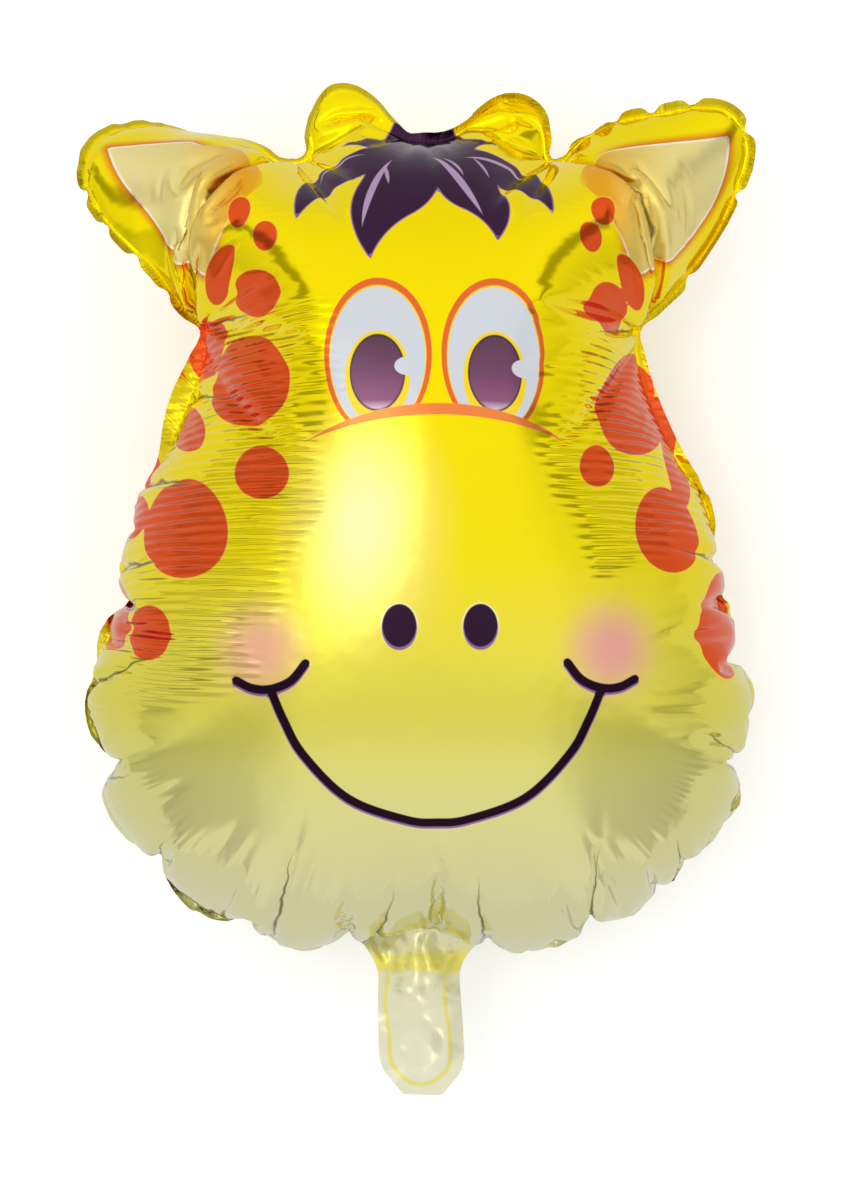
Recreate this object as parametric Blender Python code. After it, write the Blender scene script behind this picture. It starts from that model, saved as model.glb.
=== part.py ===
"""Giraffe-head foil balloon: two foil panels welded along one seam, blown up and lying on its back.

The face looks up along +Z and the top of the head points along +Y. The balloon rests on a small
flat at the middle of its back, and the origin is the middle of that flat. Each panel is a solid
half of the inflated body with its own layer of the welded rim and of the fill tab.
"""
import math

import bmesh
import bpy
import numpy as np
from mathutils import Matrix, Vector

# Inflated body, in metres.
HALF_DEPTH = 0.148        # from the seam plane to the crown of either panel
REST_FLAT_DEPTH = 0.004   # how far the back's crown is pressed flat where it lies
LAYER_GAP = 0.0003        # clearance between the two panels
LAYER_THICKNESS = 0.001   # one layer of the rim and of the tab
RIM_WIDTH = 0.008         # welded rim outside the inflated chambers

# Head chamber: right half of its edge from the chin to the top, and its puckers.
HEAD_EDGE = (
    (0.000, -0.278), (0.085, -0.267), (0.148, -0.236), (0.194, -0.190), (0.220, -0.130),
    (0.227, -0.070), (0.215, -0.005), (0.190, 0.060), (0.166, 0.120), (0.152, 0.170),
    (0.148, 0.225), (0.126, 0.278), (0.065, 0.300), (0.000, 0.304),
)
HEAD_PUCKERS = 24
HEAD_PUCKER_DEPTH = 0.010
HEAD_FULLNESS = 0.45
HEAD_RINGS = 11

# Ear chamber on the right, anticlockwise from inside the head, and the point it is deepest at.
EAR_EDGE = (
    (0.105, 0.165), (0.156, 0.172), (0.189, 0.208), (0.212, 0.250), (0.228, 0.292),
    (0.222, 0.317), (0.200, 0.322), (0.160, 0.316), (0.118, 0.298), (0.078, 0.255),
)
EAR_CROWN = (0.132, 0.236)
EAR_HALF_DEPTH = 0.060
EAR_PUCKERS = 9
EAR_PUCKER_DEPTH = 0.004
EAR_FULLNESS = 0.80
EAR_RINGS = 6

# Horn chamber on the right, in the same way.
HORN_EDGE = (
    (0.032, 0.262), (0.074, 0.262), (0.081, 0.300), (0.079, 0.322), (0.066, 0.335),
    (0.050, 0.338), (0.034, 0.329), (0.024, 0.308),
)
HORN_CROWN = (0.053, 0.296)
HORN_HALF_DEPTH = 0.030
HORN_PUCKERS = 5
HORN_PUCKER_DEPTH = 0.003
HORN_FULLNESS = 0.60
HORN_RINGS = 5

# The rim is cut wide between the ear and the cheek, where it shows as a flap.
FLAP_WIDTH = 0.017
FLAP_MIDDLE_Y = 0.110
FLAP_REACH_Y = 0.075

# Flat fill tab under the chin.
TAB_WIDTH = 0.062
TAB_LENGTH = 0.109
TAB_ROOT_WIDTH = 0.104
TAB_ROOT_DEPTH = 0.020
TAB_FLARE_LENGTH = 0.028
TAB_CORNER = 0.014
TAB_LEAN = math.radians(-4.0)

# Form shared by all chambers, and the fineness of the facets.
CROWN_WIDTH_SHARE = 0.84
PUCKER_FADE_POWER = 4
EDGE_STEPS_PER_PUCKER = 4

CHIN_Y = HEAD_EDGE[0][1]
SEAM_Z = HALF_DEPTH - REST_FLAT_DEPTH
WHOLE_LENGTH = max(y for _, y in HORN_EDGE) - CHIN_Y + TAB_LENGTH


def clear_scene():
    """Removes the objects that the file opened with."""
    for thing in list(bpy.data.objects):
        bpy.data.objects.remove(thing, do_unlink=True)


def new_collection(name):
    """Makes a collection in the scene."""
    collection = bpy.data.collections.new(name)
    bpy.context.scene.collection.children.link(collection)
    return collection


def foil_material(name, color):
    """Makes a printed, metallised film: glossy and mostly metallic."""
    material = bpy.data.materials.new(name)
    material.use_nodes = True
    shader = material.node_tree.nodes["Principled BSDF"]
    shader.inputs["Base Color"].default_value = (*color, 1.0)
    shader.inputs["Roughness"].default_value = 0.2
    shader.inputs["Metallic"].default_value = 0.7
    return material


def both_sides(right_half):
    """Closes a right half that starts and ends on the middle line into an anticlockwise outline."""
    left_half = [(-x, y) for x, y in reversed(right_half[1:-1])]
    return list(right_half) + left_half


def mirrored(outline):
    """Turns an anticlockwise outline on the right into one on the left."""
    return [(-x, y) for x, y in reversed(outline)]


def even_outline(points, count):
    """Draws a closed Catmull-Rom curve through the points and spaces count points evenly on it."""
    corners = np.array(points, float)
    fine_steps = 24
    at = np.arange(len(corners) * fine_steps) / fine_steps
    index = at.astype(int)
    t = (at - index)[:, None]
    p0, p1, p2, p3 = (corners[(index + k) % len(corners)] for k in (-1, 0, 1, 2))
    curve = 0.5 * (2 * p1 + (p2 - p0) * t + (2 * p0 - 5 * p1 + 4 * p2 - p3) * t**2
                   + (3 * p1 - p0 - 3 * p2 + p3) * t**3)
    closed = np.vstack([curve, curve[:1]])
    length = np.concatenate([[0.0], np.cumsum(np.linalg.norm(np.diff(closed, axis=0), axis=1))])
    wanted = np.arange(count) / count * length[-1]
    return np.stack([np.interp(wanted, length, closed[:, k]) for k in (0, 1)], axis=1)


def outward(loop):
    """Gives the outward unit normal at each point of an anticlockwise loop."""
    along = np.roll(loop, -1, axis=0) - np.roll(loop, 1, axis=0)
    normal = np.stack([along[:, 1], -along[:, 0]], axis=1)
    return normal / np.linalg.norm(normal, axis=1, keepdims=True)


def egg_contour(loop, crown):
    """Draws the ellipse about the crown that has the loop's length and most of its width."""
    arm = loop - crown
    across, along = CROWN_WIDTH_SHARE * np.ptp(loop[:, 0]) / 2, np.ptp(loop[:, 1]) / 2
    stretch = np.hypot(arm[:, 0] / across, arm[:, 1] / along)
    return crown + arm / stretch[:, None]


def pucker_wave(count):
    """Rises and falls once per pucker: -1/2 in the crease and 1/2 on the lobe between two creases."""
    return np.abs(np.sin(math.pi * np.arange(count) / EDGE_STEPS_PER_PUCKER)) - 0.5


def chamber(name, edge, crown, half_depth, fullness, puckers, pucker_depth, rings, collection,
            contour_at_crown=None):
    """Pulls a sphere into an inflated chamber.

    The sphere's equator becomes the edge with its puckers. Its poles stand half_depth above and
    below the crown, and the height falls from there as (1 - reach squared) to the power fullness.
    Between the edge and the crown the contours pass over to contour_at_crown, where one is given.
    """
    count = puckers * EDGE_STEPS_PER_PUCKER
    crown = np.array(crown)
    loop = even_outline(edge, count)
    round_loop = contour_at_crown(loop, crown) if contour_at_crown else loop
    shape = bmesh.new()
    bmesh.ops.create_uvsphere(shape, u_segments=count, v_segments=2 * rings, radius=1.0)
    mesh = bpy.data.meshes.new(name)
    shape.to_mesh(mesh)
    shape.free()

    ball = np.empty(len(mesh.vertices) * 3)
    mesh.vertices.foreach_get("co", ball)
    ball = ball.reshape(-1, 3)
    reach = np.minimum(np.hypot(ball[:, 0], ball[:, 1]), 1.0)
    turn = np.arctan2(ball[:, 1], ball[:, 0]) / (2 * math.pi)
    place = np.rint(turn * count).astype(int) % count
    contour = loop[place] + (round_loop - loop)[place] * (1 - reach**2)[:, None]
    spread = (contour - crown) * reach[:, None]
    ripple = outward(loop)[place] * (pucker_wave(count)[place] * pucker_depth * reach**PUCKER_FADE_POWER)[:, None]
    height = np.sign(ball[:, 2]) * half_depth * np.abs(ball[:, 2])**(2 * fullness)
    height[np.abs(ball[:, 2]) < 1e-6] = 0.0
    body = np.column_stack([crown + spread + ripple, SEAM_Z + height])
    mesh.vertices.foreach_set("co", body.ravel())
    mesh.update()

    thing = bpy.data.objects.new(name, mesh)
    collection.objects.link(thing)
    return thing


def double_layer(name, loop, collection):
    """Cuts both layers of foil to a flat outline, as a filled 2D curve turned into a mesh."""
    flat = bpy.data.curves.new(name, "CURVE")
    flat.dimensions = "2D"
    flat.fill_mode = "BOTH"
    flat.extrude = LAYER_THICKNESS + LAYER_GAP / 2
    spline = flat.splines.new("POLY")
    spline.points.add(len(loop) - 1)
    spline.points.foreach_set("co", np.column_stack([loop, np.zeros(len(loop)), np.ones(len(loop))]).ravel())
    spline.use_cyclic_u = True
    drawn = bpy.data.objects.new(name, flat)
    drawn.location.z = SEAM_Z
    collection.objects.link(drawn)
    bpy.context.view_layer.update()

    evaluated = drawn.evaluated_get(bpy.context.evaluated_depsgraph_get())
    mesh = bpy.data.meshes.new_from_object(evaluated)
    place = drawn.matrix_world.copy()
    bpy.data.objects.remove(drawn, do_unlink=True)
    shape = bmesh.new()
    shape.from_mesh(mesh)
    bmesh.ops.remove_doubles(shape, verts=shape.verts, dist=1e-6)
    bmesh.ops.recalc_face_normals(shape, faces=shape.faces)
    shape.to_mesh(mesh)
    shape.free()
    thing = bpy.data.objects.new(name, mesh)
    thing.matrix_world = place
    collection.objects.link(thing)
    return thing


def rim_of(name, edge, puckers, pucker_depth, extra_width, collection):
    """Grows a chamber's edge by the welded rim, and by extra_width(y) where the cut runs wider."""
    loop = even_outline(edge, puckers * EDGE_STEPS_PER_PUCKER)
    pucker = pucker_wave(len(loop)) * pucker_depth
    width = RIM_WIDTH + pucker + extra_width(loop)
    return double_layer(name, loop + outward(loop) * width[:, None], collection)


def no_extra(loop):
    """Keeps the rim at its plain width."""
    return np.zeros(len(loop))


def side_flap(loop):
    """Widens the head's rim smoothly along each waist, by a raised cosine of y."""
    near = np.clip(np.abs(loop[:, 1] - FLAP_MIDDLE_Y) / FLAP_REACH_Y, 0.0, 1.0)
    return (FLAP_WIDTH - RIM_WIDTH) * 0.5 * (1 + np.cos(math.pi * near))


def tab_outline():
    """Draws the tab: a flared root under the chin, straight sides and a cut-cornered end."""
    half = TAB_WIDTH / 2
    root_y = CHIN_Y + TAB_ROOT_DEPTH
    end_y = CHIN_Y - TAB_LENGTH
    flare = [
        (half + (TAB_ROOT_WIDTH / 2 - half) * (1 - s)**2, CHIN_Y - TAB_FLARE_LENGTH * s)
        for s in (1.0, 0.75, 0.5, 0.25, 0.0)
    ]
    right = [(half - TAB_CORNER, end_y), (half, end_y + TAB_CORNER)] + flare + [(TAB_ROOT_WIDTH / 2, root_y)]
    outline = right + [(-x, y) for x, y in reversed(right)]
    lean = Matrix.Rotation(-TAB_LEAN, 3, "Z")
    pivot = Vector((0.0, CHIN_Y, 0.0))
    return np.array([(lean @ (Vector((x, y, 0.0)) - pivot) + pivot)[:2] for x, y in outline])


def boolean(thing, operation, other):
    """Adds an exact Boolean modifier with another object, or with all objects of a collection."""
    cut = thing.modifiers.new(f"{operation.lower()} {other.name}", "BOOLEAN")
    cut.operation = operation
    cut.solver = "EXACT"
    if isinstance(other, bpy.types.Collection):
        cut.operand_type = "COLLECTION"
        cut.collection = other
    else:
        cut.object = other


def keep_as_guide(thing):
    """Hides a helper from the finished object."""
    thing.hide_render = True
    thing.display_type = "WIRE"


def half_space(name, low, high, collection):
    """Makes the block of space that one panel fills, between two heights."""
    shape = bmesh.new()
    bmesh.ops.create_cube(shape, size=1.0)
    bmesh.ops.scale(shape, vec=(2 * WHOLE_LENGTH, 2 * WHOLE_LENGTH, high - low), verts=shape.verts)
    bmesh.ops.translate(shape, vec=(0.0, 0.0, (low + high) / 2), verts=shape.verts)
    mesh = bpy.data.meshes.new(name)
    shape.to_mesh(mesh)
    shape.free()
    thing = bpy.data.objects.new(name, mesh)
    collection.objects.link(thing)
    keep_as_guide(thing)
    return thing


def whole_envelope(guides, added):
    """Joins the head, ears, horns, rim and tab into one inflated body, in a single union."""
    head_edge = both_sides(HEAD_EDGE)
    head = chamber("head_chamber", head_edge, (0.0, 0.0), HALF_DEPTH, HEAD_FULLNESS,
                   HEAD_PUCKERS, HEAD_PUCKER_DEPTH, HEAD_RINGS, guides, egg_contour)
    rim_of("head_rim", head_edge, HEAD_PUCKERS, HEAD_PUCKER_DEPTH, side_flap, added)
    for side in ("right", "left"):
        ear_edge = EAR_EDGE if side == "right" else mirrored(EAR_EDGE)
        horn_edge = HORN_EDGE if side == "right" else mirrored(HORN_EDGE)
        sign = 1.0 if side == "right" else -1.0
        ear_crown = (sign * EAR_CROWN[0], EAR_CROWN[1])
        horn_crown = (sign * HORN_CROWN[0], HORN_CROWN[1])
        chamber(f"{side}_ear_chamber", ear_edge, ear_crown, EAR_HALF_DEPTH, EAR_FULLNESS,
                EAR_PUCKERS, EAR_PUCKER_DEPTH, EAR_RINGS, added)
        rim_of(f"{side}_ear_rim", ear_edge, EAR_PUCKERS, EAR_PUCKER_DEPTH, no_extra, added)
        chamber(f"{side}_horn_chamber", horn_edge, horn_crown, HORN_HALF_DEPTH, HORN_FULLNESS,
                HORN_PUCKERS, HORN_PUCKER_DEPTH, HORN_RINGS, added)
        rim_of(f"{side}_horn_rim", horn_edge, HORN_PUCKERS, HORN_PUCKER_DEPTH, no_extra, added)
    double_layer("tab_layers", tab_outline(), added)
    boolean(head, "UNION", added)
    for thing in [head, *added.objects]:
        keep_as_guide(thing)
    return head


def panel(name, envelope, space, color, collection):
    """Keeps the part of the envelope that lies in one half of the space."""
    bpy.context.view_layer.update()
    evaluated = envelope.evaluated_get(bpy.context.evaluated_depsgraph_get())
    mesh = bpy.data.meshes.new_from_object(evaluated)
    mesh.name = name
    thing = bpy.data.objects.new(name, mesh)
    collection.objects.link(thing)
    mesh.materials.clear()
    mesh.materials.append(foil_material(f"{name}_film", color))
    boolean(thing, "INTERSECT", space)
    mesh.shade_smooth()
    mesh.set_sharp_from_angle(angle=math.radians(40))
    return thing


def build():
    """Builds the front and back panels."""
    clear_scene()
    balloon = new_collection("giraffe_foil_balloon")
    guides = new_collection("guides")
    added = new_collection("pieces_joined_to_the_head")
    envelope = whole_envelope(guides, added)
    front_space = half_space("front_space", SEAM_Z + LAYER_GAP / 2, SEAM_Z + 2 * HALF_DEPTH, guides)
    back_space = half_space("back_space", 0.0, SEAM_Z - LAYER_GAP / 2, guides)
    panel("front_foil_panel", envelope, front_space, (0.86, 0.74, 0.04), balloon)
    panel("back_foil_panel", envelope, back_space, (0.80, 0.66, 0.03), balloon)


build()
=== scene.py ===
import math
import bpy
import numpy as np
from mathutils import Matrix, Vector
from mathutils.geometry import delaunay_2d_cdt


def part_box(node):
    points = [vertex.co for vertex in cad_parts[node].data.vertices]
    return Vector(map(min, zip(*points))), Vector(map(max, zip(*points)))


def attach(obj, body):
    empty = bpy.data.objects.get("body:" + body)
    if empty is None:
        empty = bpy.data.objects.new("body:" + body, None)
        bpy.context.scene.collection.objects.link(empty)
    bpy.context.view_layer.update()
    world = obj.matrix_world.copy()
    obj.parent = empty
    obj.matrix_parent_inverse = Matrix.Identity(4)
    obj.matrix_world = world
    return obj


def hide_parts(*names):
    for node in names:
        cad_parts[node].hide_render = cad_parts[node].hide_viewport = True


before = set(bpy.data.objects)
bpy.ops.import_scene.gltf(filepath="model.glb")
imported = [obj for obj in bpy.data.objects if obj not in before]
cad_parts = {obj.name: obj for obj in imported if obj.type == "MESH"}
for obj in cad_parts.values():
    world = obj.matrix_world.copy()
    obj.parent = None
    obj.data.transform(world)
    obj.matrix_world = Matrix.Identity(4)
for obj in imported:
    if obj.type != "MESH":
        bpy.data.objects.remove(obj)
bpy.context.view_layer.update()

MM = 0.001

# The cut sheets
# A foil balloon starts as two flat sheets of metallised nylon film, cut alike and laid face to
# face. One heat weld joins them all round, a rim's width inside the cut edge, and the fill tab
# is a tongue of the same two sheets below the chin.
HEAD = (
    (0, -338), (47, -341), (98, -338), (145, -323), (186, -302), (221, -275), (252, -241),
    (276, -203), (289, -159), (297, -113), (295, -67), (288, -23), (279, 19), (267, 59),
    (250, 97), (235, 134), (224, 164), (219, 184),
)
RIGHT_EAR = (
    (227, 204), (237, 231), (246, 262), (252, 296), (253, 333), (240, 355), (219, 362),
    (189, 362), (156, 360), (128, 353), (110, 343),
)
LEFT_EAR = (
    (228, 204), (238, 231), (249, 260), (257, 291), (257, 324), (242, 352), (215, 365),
    (186, 368), (158, 363), (131, 352), (112, 342),
)
RIGHT_HORN = ((99, 345), (93, 361), (85, 375), (74, 383), (61, 384), (49, 377), (38, 367), (21, 360))
LEFT_HORN = ((89, 347), (83, 364), (76, 379), (65, 390), (52, 391), (39, 384), (27, 371), (12, 360))
FOREHEAD_MIDDLE = (0, 359)
RIM = 8.0
FLAP = 9.0
FLAP_MIDDLE, FLAP_REACH = 132.0, 62.0
TAB_HALF_WIDTH, TAB_LENGTH, TAB_ROOT_HALF_WIDTH, TAB_FLARE = 31.0, 113.0, 54.0, 34.0
TAB_CORNER, TAB_LEAN = 17.0, 0.06
EAR_CREASES = (
    (116, 347), (136, 355), (155, 360), (182, 362), (212, 363), (248, 343), (252, 298), (237, 231),
    (-258, 308), (-254, 280), (-246, 250), (-233, 219),
)
NOTCH_DEPTH, NOTCH_SPREAD = 0.85, 4.5
COARSE_STEP = 12.0
FINE_PER_STEP = 12
STEPS_PER_CORNER = 48


def catmull_rom(p0, p1, p2, p3, t):
    """Gives the Catmull-Rom curve's point at the share t of the way from p1 to p2.

    It is half of 2 p1 + (p2 - p0) t + (2 p0 - 5 p1 + 4 p2 - p3) t^2 + (3 p1 - p0 - 3 p2 + p3) t^3.
    """
    return 0.5 * (2 * p1 + (p2 - p0) * t + (2 * p0 - 5 * p1 + 4 * p2 - p3) * t**2
                  + (3 * p1 - p0 - 3 * p2 + p3) * t**3)


def closed_curve(points, spacing):
    """Draws a closed Catmull-Rom curve through the points and spaces points evenly along it."""
    corners = np.array(points, float)
    at = np.arange(0.0, len(corners), 1.0 / STEPS_PER_CORNER)
    knot = at.astype(int)
    around = [corners[(knot + k) % len(corners)] for k in (-1, 0, 1, 2)]
    return even_loop(catmull_rom(*around, (at - knot)[:, None]), spacing)


def even_loop(loop, spacing):
    """Respaces a closed polygon evenly, by interpolating its corners over its running length."""
    closed = np.vstack([loop, loop[:1]])
    length = np.concatenate([[0.0], np.cumsum(np.linalg.norm(np.diff(closed, axis=0), axis=1))])
    count = int(round(length[-1] / spacing / FINE_PER_STEP)) * FINE_PER_STEP
    wanted = np.arange(count) / count * length[-1]
    return np.stack([np.interp(wanted, length, closed[:, k]) for k in (0, 1)], axis=1)


def outward(loop, reach=1):
    """Gives the outward unit normal of an anticlockwise loop, from neighbours reach points away."""
    along = np.roll(loop, -reach, axis=0) - np.roll(loop, reach, axis=0)
    normal = np.stack([along[:, 1], -along[:, 0]], axis=1)
    return normal / np.linalg.norm(normal, axis=1, keepdims=True)


def cut_edge(weld):
    """Offsets the weld line to the cut edge.

    The offset is the rim's width, shrunk in hollows to rim / (1 + 1.5 * rim * curvature) so that
    the edge can't cross itself, plus a raised cosine that makes the flap between ear and cheek.
    Where the rim is folded away at a crease of an ear, the edge has a notch.
    """
    reach = 8
    normal = outward(weld, reach)
    step = np.linalg.norm(np.roll(weld, -1, axis=0) - weld, axis=1).mean()
    turn = (np.roll(normal, -reach, axis=0) - np.roll(normal, reach, axis=0)) / (2 * reach * step)
    along = np.stack([-normal[:, 1], normal[:, 0]], axis=1)
    hollow = np.maximum(-(turn * along).sum(axis=1), 0.0)
    near = np.clip(np.abs(weld[:, 1] - FLAP_MIDDLE) / FLAP_REACH, 0.0, 1.0)
    flap = FLAP * 0.5 * (1 + np.cos(np.pi * near)) * (weld[:, 0] < 0)
    away = ((weld[:, None, :] - np.array(EAR_CREASES))**2).sum(axis=2)
    notch = NOTCH_DEPTH * np.exp(-away / NOTCH_SPREAD**2).max(axis=1)
    width = RIM / (1 + 1.5 * RIM * hollow) * (1 - notch) + flap
    return weld + normal * width[:, None]


def with_tab(edge):
    """Replaces the cut edge below the chin by the tab: flared root, straight sides, cut corners."""
    chin = edge[:, 1][np.abs(edge[:, 0]) < 5.0].min()
    s = np.linspace(0.0, 1.0, 9)
    flare = np.stack([TAB_HALF_WIDTH + (TAB_ROOT_HALF_WIDTH - TAB_HALF_WIDTH) * (1 - s)**2,
                      chin + 4.0 - TAB_FLARE * s], axis=1)
    end = chin - TAB_LENGTH
    corner = np.array([(TAB_HALF_WIDTH, end + 1.6 * TAB_CORNER),
                       (TAB_HALF_WIDTH - 3.0, end + TAB_CORNER),
                       (TAB_HALF_WIDTH - TAB_CORNER, end)])
    right = np.vstack([flare, corner])
    lean = TAB_LEAN * np.array((1.0, 0.0)) * (chin - np.minimum(right[:, 1:], chin))
    tab = np.vstack([right * (-1, 1) + lean, (right + lean)[::-1]])
    kept = edge[(np.abs(edge[:, 0]) > TAB_ROOT_HALF_WIDTH) | (edge[:, 1] > 0)]
    start = np.hypot(kept[:, 0] - TAB_ROOT_HALF_WIDTH, kept[:, 1] - chin).argmin()
    kept = np.roll(kept, -start, axis=0)
    return np.vstack([kept, tab])


def is_inside(points, loop):
    """Tells which points lie inside a polygon, by counting the edges crossed to their right."""
    a, b = loop, np.roll(loop, -1, axis=0)
    x, y = points[:, 0:1], points[:, 1:2]
    spans = (a[:, 1] > y) != (b[:, 1] > y)
    rise = np.where(b[:, 1] == a[:, 1], 1.0, b[:, 1] - a[:, 1])
    crossing = a[:, 0] + (b[:, 0] - a[:, 0]) * (y - a[:, 1]) / rise
    return ((spans & (x < crossing)).sum(axis=1) % 2) == 1


def distance_to(points, loop):
    """Measures the distance from each point to a closed polygon."""
    a, b = loop, np.roll(loop, -1, axis=0)
    ab = b - a
    found = np.empty(len(points))
    for first in range(0, len(points), 2000):
        p = points[first:first + 2000, None, :]
        t = np.clip(((p - a) * ab).sum(axis=2) / (ab**2).sum(axis=1), 0.0, 1.0)
        found[first:first + 2000] = np.sqrt(((p - a - t[..., None] * ab)**2).sum(axis=2)).min(axis=1)
    return found


def lay_out(weld, cut, step):
    """Triangulates the sheet: points of the two loops, and a triangular lattice between them."""
    low, high = cut.min(axis=0), cut.max(axis=0)
    row, column = np.meshgrid(np.arange(int((high[1] - low[1]) / (0.866 * step)) + 1),
                              np.arange(int((high[0] - low[0]) / step) + 2), indexing="ij")
    lattice = np.stack([(low[0] + (column - 0.5 * (row % 2)) * step).ravel(),
                        (low[1] + 0.866 * row * step).ravel()], axis=1)
    lattice = lattice[is_inside(lattice, cut)]
    clear = np.minimum(distance_to(lattice, weld), distance_to(lattice, cut)) > 0.62 * step
    points = np.vstack([weld, cut, lattice[clear]])
    ring = lambda n, first: np.stack([np.arange(n), (np.arange(n) + 1) % n], axis=1) + first
    weld_edges, cut_edges = ring(len(weld), 0), ring(len(cut), len(weld))
    edges = [tuple(pair) for pair in np.vstack([weld_edges, cut_edges]).tolist()]
    made = delaunay_2d_cdt([Vector(p) for p in points.tolist()], edges, [], 1, 1e-6)
    flat, faces = np.array([tuple(p) for p in made[0]]), np.array(made[2])
    if len(flat) != len(points):
        raise ValueError("the cut edge crosses the weld or itself")
    return {"flat": flat, "faces": faces, "weld": weld_edges, "cut": cut_edges,
            "blown": is_inside(flat[faces].mean(axis=1), weld)}


weld_right = HEAD + RIGHT_EAR + RIGHT_HORN + (FOREHEAD_MIDDLE,)
weld_left = tuple((-x, y) for x, y in (HEAD[1:] + LEFT_EAR + LEFT_HORN)[::-1])
weld_fine = closed_curve(weld_right + weld_left, COARSE_STEP / FINE_PER_STEP)
cut_fine = even_loop(with_tab(cut_edge(weld_fine)), COARSE_STEP / FINE_PER_STEP)
sheet = lay_out(weld_fine[::FINE_PER_STEP], cut_fine[::FINE_PER_STEP], COARSE_STEP)


# Filling
# The gas blows the two films up until neither can stretch further. The weld is drawn in, so it
# puckers, and the film gathers into creases there. Numbers here are in millimetres.
CHEEK_CREASES = (43, 18, 2, 354, 330, 320, 313, 303, 292, 279,
                 256, 246, 237, 229, 216, 207, 194, 181, 164, 146)
FULL_HEIGHT, SLOWING = 152.0, 6.0
CREASE_SEED, CHEEK_SPREAD, EAR_SPREAD = 6.0, 2.0, 11.0
CARRIED_ON = 0.9
FIRST_PUSHES = np.concatenate([np.full(120, 0.35), np.linspace(0.35, 0.06, 140)])
FIRST_STIFFNESS = 0.03
REFINEMENTS = ((160, 0.015, 0.03), (100, 0.004, 0.04))


def edges_of(faces):
    """Lists the three edges of each triangle."""
    return np.vstack([faces[:, [0, 1]], faces[:, [1, 2]], faces[:, [2, 0]]])


def summed_at_points(faces, values, count):
    """Sums a vector of each triangle at its three corners."""
    total = lambda axis: sum(np.bincount(faces[:, k], values[:, axis], count) for k in range(3))
    return np.stack([total(axis) for axis in range(3)], axis=1)


def subdivided(sheet, fields):
    """Splits each triangle in four. New points of the weld and cut edge move onto their curves."""
    faces = sheet["faces"]
    edges, which = np.unique(np.sort(edges_of(faces), axis=1), axis=0, return_inverse=True)
    which = which.reshape(3, -1)
    old = len(sheet["flat"])
    key = edges[:, 0].astype(np.int64) * old + edges[:, 1]
    spread = lambda field: np.concatenate([field, 0.5 * (field[edges[:, 0]] + field[edges[:, 1]])])
    new = {"flat": spread(sheet["flat"]), "blown": np.tile(sheet["blown"], 4)}
    for line, curve in (("weld", weld_fine), ("cut", cut_fine)):
        pair = sheet[line]
        ends = np.sort(pair, axis=1)
        middle = old + np.searchsorted(key, ends[:, 0].astype(np.int64) * old + ends[:, 1])
        near = ((new["flat"][middle][:, None, :] - curve)**2).sum(axis=2).argmin(axis=1)
        new["flat"][middle] = curve[near]
        new[line] = np.vstack([np.stack([pair[:, 0], middle], axis=1),
                               np.stack([middle, pair[:, 1]], axis=1)])
    a, b, c = faces.T
    ab, bc, ca = old + which
    new["faces"] = np.vstack([np.stack(corner, axis=1) for corner in
                              ((a, ab, ca), (ab, b, bc), (ca, bc, c), (ab, bc, ca))])
    return new, [spread(field) for field in fields]


def sides(sheet):
    """Names the points of the back film: those inside the weld are its own, the rest are shared."""
    count = len(sheet["flat"])
    own = np.zeros(count, bool)
    own[sheet["faces"][sheet["blown"]].ravel()] = True
    own[sheet["weld"].ravel()] = False
    back = np.arange(count)
    back[own] = count + np.arange(own.sum())
    return own, back


def across_edges(faces):
    """Pairs the two corners that face each other across each shared edge."""
    pairs = np.sort(edges_of(faces), axis=1)
    opposite = np.concatenate([faces[:, 2], faces[:, 0], faces[:, 1]])
    key = pairs[:, 0].astype(np.int64) * (faces.max() + 1) + pairs[:, 1]
    order = np.argsort(key, kind="stable")
    twice = np.where(np.diff(key[order]) == 0)[0]
    return np.stack([opposite[order[twice]], opposite[order[twice + 1]]], axis=1)


def dealt(pairs, rng):
    """Deals pairs of points into rounds in which no point comes twice, for one update at a time."""
    left = rng.permutation(len(pairs))
    rounds = []
    while len(left):
        p = pairs[left]
        chosen = np.zeros(len(left), bool)
        taken = np.zeros(pairs.max() + 1, bool)
        for _ in range(7):
            free = np.where(~chosen & ~taken[p].any(axis=1))[0]
            first = np.full(len(taken), len(left))
            np.minimum.at(first, p[free].ravel(), np.repeat(free, 2))
            chosen[free[(first[p[free]] == free[:, None]).all(axis=1)]] = True
            taken[p[chosen].ravel()] = True
        rounds.append(left[chosen])
        left = left[~chosen]
    return rounds


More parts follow.
